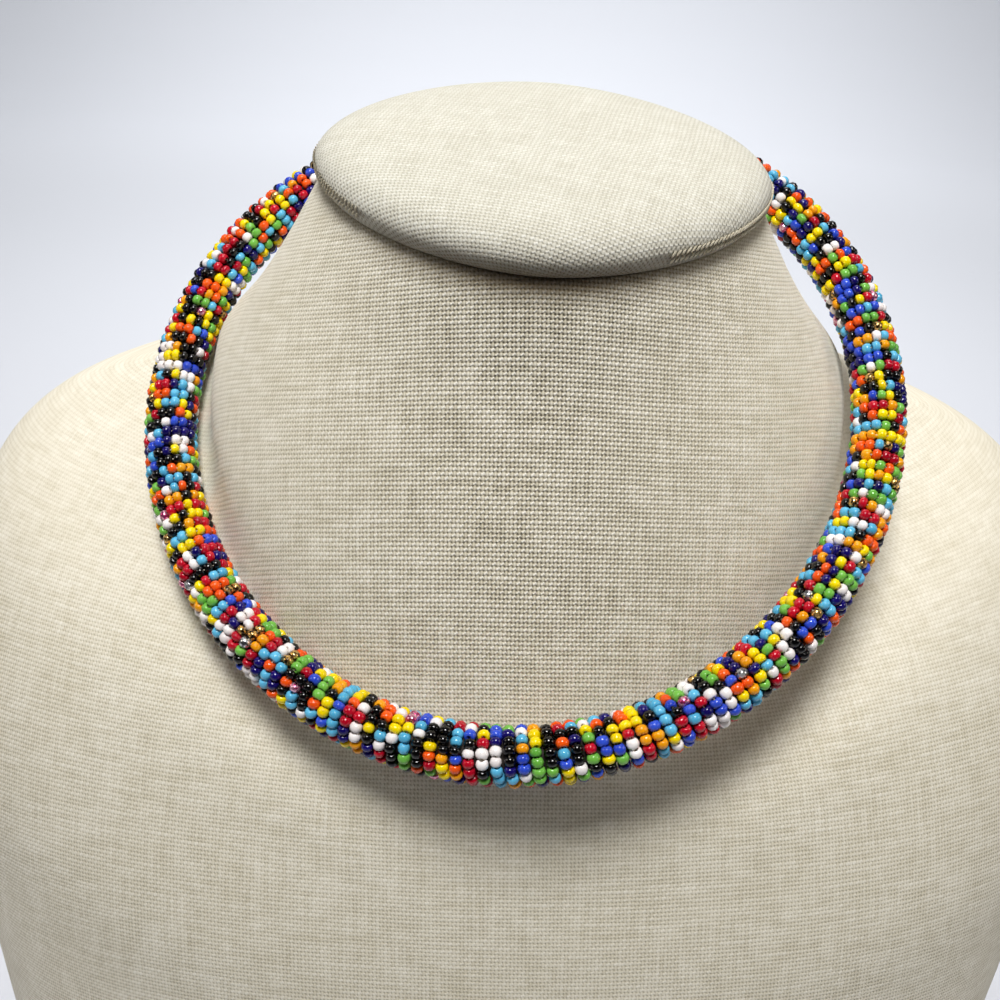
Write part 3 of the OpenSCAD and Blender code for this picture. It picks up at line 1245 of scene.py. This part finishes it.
@dataclass
class BeadedRope:
    """The collar: one long strand of seed beads wound ring by ring round a stiff core.

    Attributes:
        sides: Points in each ring of the CAD tube.
        beads_a_ring: Beads in one turn of the strand.
        ring_pitch: Step along the rope from one turn to the next.
        bead: Form of the beads.
        length_spread: Spread of the beads' lengths, as a share.
        size_spread: Spread of their widths, as a share.
        place_spread: How far they stand proud of the strand or sink into it.
        stray: How far they stray along the rope.
        tilt: How far they tilt, as a share of their length.
        clumping: Chance that a bead has the colour of the one before it.
        core_share: Core's radius as a share of the strand's.
        core_steps: Steps of the core along the rope.
        thread_radius: Radius of the beads' thread.
        core: Finish of the core.
        thread: Finish of the thread.
        seed: Seed of all that is random.
        line: Middle line of the rope.
        length: Length of the rope.
        strand_radius: Radius of the winding, at the beads' middles.
    """

    sides: int = 16
    beads_a_ring: int = 16
    ring_pitch: float = 2.31 * MM
    bead: BeadForm = BeadForm()
    length_spread: float = 0.12
    size_spread: float = 0.08
    place_spread: float = 0.1 * MM
    stray: float = 0.14 * MM
    tilt: float = 0.14
    clumping: float = 0.25
    core_share: float = 0.78
    core_steps: int = 240
    thread_radius: float = 0.16 * MM
    # The core's dark brown is partly its own colour and partly painted shade, for the deep gaps between
    # the beads.
    core: CordFinish = CordFinish("core_cord", seen(70, 60, 52), seen(26, 22, 20))
    thread: CordFinish = CordFinish("bead_thread", seen(236, 226, 206), seen(170, 156, 130))
    seed: int = 7
    line: bpy.types.Mesh = field(init=False)
    length: float = field(init=False)
    strand_radius: float = field(init=False)

    def __post_init__(self) -> None:
        """Reads the middle line and the thickness of the CAD tube."""
        rings = Outlines.of("beaded_rope", self.sides, (1, 0, 0)).rings
        middles = rings.mean(1)
        self.length = float(np.linalg.norm(np.diff(middles, axis=0), axis=-1).sum())
        rope_radius = float(np.linalg.norm(rings[0] - middles[0], axis=-1).mean())
        self.strand_radius = rope_radius - self.bead.radius
        self.line = bpy.data.meshes.new("rope_middle")
        steps = [(i, i + 1) for i in range(len(middles) - 1)]
        self.line.from_pydata([tuple(p) for p in middles], steps, [])

    @staticmethod
    def wind(tree: Tree, along: Wire, angle: Wire, radius: Wire) -> tuple[Wire, Wire, Wire]:
        """Finds a place on the strand that is wound round the rope.

        Args:
            tree: The tree that it is for.
            along: Distance along the rope.
            angle: Angle round it.
            radius: Distance from its middle.

        Returns:
            The place, the way out from the rope's middle and the strand's own way.
        """
        bench = tree.bench
        fine = {0: tree.smooth_line(), "Resolution": 12}
        line = bench.wire("GeometryNodeSetSplineResolution", None, fine)
        settings = {"mode": "LENGTH", "use_all_curves": True}
        sample = bench.node("GeometryNodeSampleCurve", settings, {"Curves": line, "Length": along})
        labels = ("Position", "Tangent", "Normal")
        middle, ahead, side = (Wire(bench, sample.outputs[label]) for label in labels)
        third = bench.vector("CROSS_PRODUCT", ahead, side)
        out = bench.sum_of(side, angle.cosine(), third, angle.sine())
        way = bench.vector("CROSS_PRODUCT", ahead, out)
        return bench.vector("ADD", middle, bench.stretch(out, radius)), out, way

    def bead_tree(self, values: dict[str, object]) -> Tree:
        """Builds the tree that strings the beads of one colour in their places on the strand.

        Args:
            values: The tree's inputs, as for one of the colours.

        Returns:
            The tree.
        """
        tree = Tree("seed_bead_strand", values)
        bench, chance = tree.bench, tree.chance
        longer = tree.about_one("Length spread", 1)
        own = longer * tree["Bead spacing"]
        before = bench.wire("GeometryNodeAccumulateField", None, {"Value": own}, "Trailing")
        angle = (before + own * 0.5) / tree["Strand radius"]
        along = angle / TURN * tree["Ring pitch"] + chance(10) * tree["Stray"]
        proud = chance(2) * tree["Place spread"]
        place, out, way = self.wind(tree, along, angle, tree["Strand radius"] + proud)
        sway = bench.join(chance(3), chance(4), chance(5))
        leaning = bench.vector("ADD", way, bench.stretch(sway, tree["Tilt"]))
        wide = tree.about_one("Size spread", 6)

        number = bench.wire("GeometryNodeInputIndex")
        same_as_last = chance(7, 0.0).below(tree["Clumping"])
        drawn = chance(8, 0.0, 1.0, number - same_as_last)
        chosen = (1 - drawn.below(tree["Share from"])) * drawn.below(tree["Share to"])
        points = bench.wire("GeometryNodePoints", None, {"Count": tree["Bead count"]})
        points = bench.wire("GeometryNodeSetPosition", None, {"Geometry": points, "Position": place})
        form = bench.wire("GeometryNodeObjectInfo", None, {"Object": tree["Bead"]}, "Geometry")
        size = bench.join(wide, wide, longer)
        beads = tree.place(points, form, size, leaning, out, Selection=chosen)
        settings = {"data_type": "FLOAT", "domain": "INSTANCE"}
        tone = {"Geometry": beads, "Name": TONE, "Value": chance(9, 0.0)}
        tree.end(bench.wire("GeometryNodeStoreNamedAttribute", settings, tone))
        return tree

    def thread_tree(self, values: dict[str, object]) -> Tree:
        """Builds the tree that winds a round thread or core along the rope.

        Args:
            values: The tree's inputs, as for one of the two.

        Returns:
            The tree.
        """
        tree = Tree("wound_thread", values)
        bench = tree.bench
        share = bench.wire("GeometryNodeInputIndex") / (tree["Steps"] - 1)
        angle = share * tree["Turns"] * TURN
        place, _, _ = self.wind(tree, share * tree["Rope length"], angle, tree["Winding radius"])
        row = bench.wire("GeometryNodeMeshLine", None, {"Count": tree["Steps"]})
        wound = bench.wire("GeometryNodeSetPosition", None, {"Geometry": row, "Position": place})
        curve = bench.wire("GeometryNodeMeshToCurve", None, {0: wound})
        circle = {"Resolution": tree["Thread sides"], "Radius": tree["Thread radius"]}
        round_edge = bench.wire("GeometryNodeCurvePrimitiveCircle", None, circle)
        swept = {"Curve": curve, "Profile Curve": round_edge, "Fill Caps": True}
        tree.end(bench.wire("GeometryNodeCurveToMesh", None, swept))
        return tree

    def string_beads(self) -> None:
        """Strings the beads, one piece for each colour."""
        form = self.bead.build()
        shared = {
            "Bead count": int(self.length / self.ring_pitch * self.beads_a_ring),
            "Strand radius": self.strand_radius,
            "Ring pitch": self.ring_pitch,
            "Bead spacing": TURN * self.strand_radius / self.beads_a_ring,
            "Length spread": self.length_spread,
            "Size spread": self.size_spread,
            "Place spread": self.place_spread,
            "Stray": self.stray,
            "Tilt": self.tilt,
            "Clumping": self.clumping,
            "Seed": self.seed,
            "Bead": form,
        }
        total = sum(finish.share for finish in BEAD_COLOURS)
        ends = [share / total for share in accumulate(finish.share for finish in BEAD_COLOURS)]
        runs = [
            {"Share from": share_from, "Share to": share_to, "Finish": finish.material()} | shared
            for finish, share_from, share_to in zip(BEAD_COLOURS, [0.0, *ends], ends)
        ]
        tree = self.bead_tree(runs[0])
        for finish, values in zip(BEAD_COLOURS, runs):
            dress(tree.run(f"beads_{finish.colour}", self.line, values), "beaded_rope")
        bpy.data.objects.remove(form)

    def wind_core(self) -> None:
        """Winds the beads' thread and lays the stiff core under them."""
        turns = self.length / self.ring_pitch
        core = {
            "Rope length": self.length,
            "Steps": self.core_steps,
            "Turns": 0.0,
            "Winding radius": 0.0,
            "Thread radius": self.strand_radius * self.core_share,
            "Thread sides": 20,
            "Finish": self.core.material(),
        }
        thread = {
            "Rope length": self.length,
            "Steps": int(turns * self.beads_a_ring),
            "Turns": turns,
            "Winding radius": self.strand_radius,
            "Thread radius": self.thread_radius,
            "Thread sides": 5,
            "Finish": self.thread.material(),
        }
        tree = self.thread_tree(core)
        for name, values in (("rope_core", core), ("bead_thread", thread)):
            dress(tree.run(name, self.line, values), "beaded_rope")

    def build(self) -> None:
        """Builds the whole rope in the place of the CAD tube."""
        self.string_beads()
        self.wind_core()


@dataclass
class BarrelClasp:
    """The plain barrel clasp behind the neck, kept as its CAD solid.

    Attributes:
        brass: Finish of the clasp.
    """

    brass: BrassFinish = BrassFinish()

    def build(self) -> None:
        """Gives the CAD solid its brass."""
        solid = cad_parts["clasp"]
        solid.data.materials.clear()
        solid.data.materials.append(self.brass.material())
        LOG.info("clasp: kept as its CAD solid")


@dataclass(frozen=True)
class SoftBox:
    """A soft studio light.

    Attributes:
        name: Its name.
        place: Where it stands.
        aim: What it points at.
        size: Length of its side.
        power: Its strength in watts.
        spread: Angle that its grid lets through, in degrees.
        colour: Colour of its light.
    """

    name: str
    place: Point
    aim: Point
    size: float
    power: float
    spread: float
    colour: Point = (1.0, 1.0, 1.0)

    def build(self) -> None:
        """Hangs the light and turns it to its aim."""
        lamp = bpy.data.lights.new(self.name, "AREA")
        lamp.size = self.size
        lamp.energy = self.power
        lamp.color = self.colour
        lamp.spread = math.radians(self.spread)
        made = bpy.data.objects.new(self.name, lamp)
        made.location = self.place
        made.rotation_euler = (Vector(self.aim) - made.location).to_track_quat("-Z", "Y").to_euler()
        bpy.context.scene.collection.objects.link(made)


@dataclass
class Studio:
    """Camera, floor and light.

    Attributes:
        eye: Place of the camera.
        lens_px: Focal length in pixels of a 1000-pixel frame.
        down: Angle by which the camera looks down, in degrees.
        roll: Angle by which it is turned anticlockwise, in degrees.
        paper: Colour of the floor and the backdrop.
        paper_flat: Radius of the flat floor.
        paper_bend: Radius of the sweep up into the backdrop.
        paper_sides: Sides round the sweep.
        paper_steps: Steps up the sweep.
        paper_grain: Specks of the paper to the metre.
        paper_lift: How much lighter a speck is than the paper.
        lights: The soft boxes.
        air: Colour of the ambient light.
        ambient: Its strength.
    """

    eye: Point = (-4.68 * MM, -224.21 * MM, 319.18 * MM)
    lens_px: float = 1150.0
    down: float = 23.0
    roll: float = 3.32
    paper: Colour = seen(214, 217, 224)
    paper_flat: float = 3.0
    paper_bend: float = 1.5
    paper_sides: int = 48
    paper_steps: int = 10
    paper_grain: float = 900.0
    paper_lift: float = 1.04
    lights: tuple[SoftBox, ...] = (
        SoftBox("key_light", (-0.06, -0.45, 1.25), (0, 0.15, 0.3), 0.36, 3.75, 90, (1.0, 0.98, 0.98)),
        SoftBox("left_light", (-1.0, -0.2, 0.75), (0, 0, 0.25), 0.4, 0.4, 90, (1.0, 0.9, 0.78)),
        SoftBox("right_light", (1.0, -0.2, 0.75), (0, 0, 0.25), 0.4, 0.5, 90, (1.0, 0.9, 0.78)),
        SoftBox("paper_light", (0, 3.0, 3.0), (0, 3.0, 0), 2.2, 52.0, 110),
        SoftBox("floor_light", (0, 0.7, 1.3), (0, 1.2, 0), 1.0, 6.0, 110),
    )
    air: Colour = (0.93, 0.96, 1.0, 1.0)
    ambient: float = 0.004

    def set_camera(self) -> None:
        """Stands the camera where the photograph was taken from."""
        lens = bpy.data.cameras.new("camera")
        lens.sensor_width = 36.0
        lens.lens = self.lens_px / 1000 * lens.sensor_width
        lens.clip_start = 0.01
        made = bpy.data.objects.new("camera", lens)
        look = Matrix.Rotation(math.radians(90 - self.down), 4, "X")
        roll = Matrix.Rotation(math.radians(self.roll), 4, "Z")
        made.matrix_world = Matrix.Translation(self.eye) @ look @ roll
        bpy.context.scene.collection.objects.link(made)
        bpy.context.scene.camera = made

    def lay_floor(self) -> None:
        """Lays pale paper that sweeps up into a backdrop on all sides."""
        flat, bend, steps = self.paper_flat, self.paper_bend, self.paper_steps
        rises = (math.pi / 2 * k / steps for k in range(1, steps + 1))
        sweep = [(flat + bend * math.sin(a), bend * (1 - math.cos(a))) for a in rises]
        rows = [(flat / 10, 0.0), (flat, 0.0), *sweep]
        mesh = lathed("paper_sweep", rows, self.paper_sides, closed=False)
        bench = Paint("studio_paper")
        grain = bench.noise(bench.place(), self.paper_grain, 3.0)
        pale = tuple(min(1.0, c * self.paper_lift) for c in self.paper)
        colour = bench.blend(grain, self.paper, pale)
        mesh.materials.append(bench.finish({"Base Color": colour, "Roughness": 0.9}))
        link("paper_sweep", mesh)

    def light(self) -> None:
        """Hangs the soft boxes and sets an even ambient light."""
        for box in self.lights:
            box.build()
        world = bpy.data.worlds.new("studio_air")
        bpy.context.scene.world = world
        world.use_nodes = True
        air = world.node_tree.nodes["Background"]
        air.inputs["Color"].default_value = self.air
        air.inputs["Strength"].default_value = self.ambient
        bpy.context.scene.view_settings.view_transform = "Standard"

    def build(self) -> None:
        """Sets up the whole studio."""
        self.set_camera()
        self.lay_floor()
        self.light()


def main() -> None:
    """Builds the studio and then the sub-assemblies, from the bust out to the clasp."""
    logging.basicConfig(level=logging.INFO, format="%(name)s: %(message)s")
    for part in (Studio(), LinenBust(), NeckPad(), BeadedRope(), BarrelClasp()):
        part.build()
        LOG.info("%s is done", type(part).__name__)


if __name__ == "__main__":
    main()
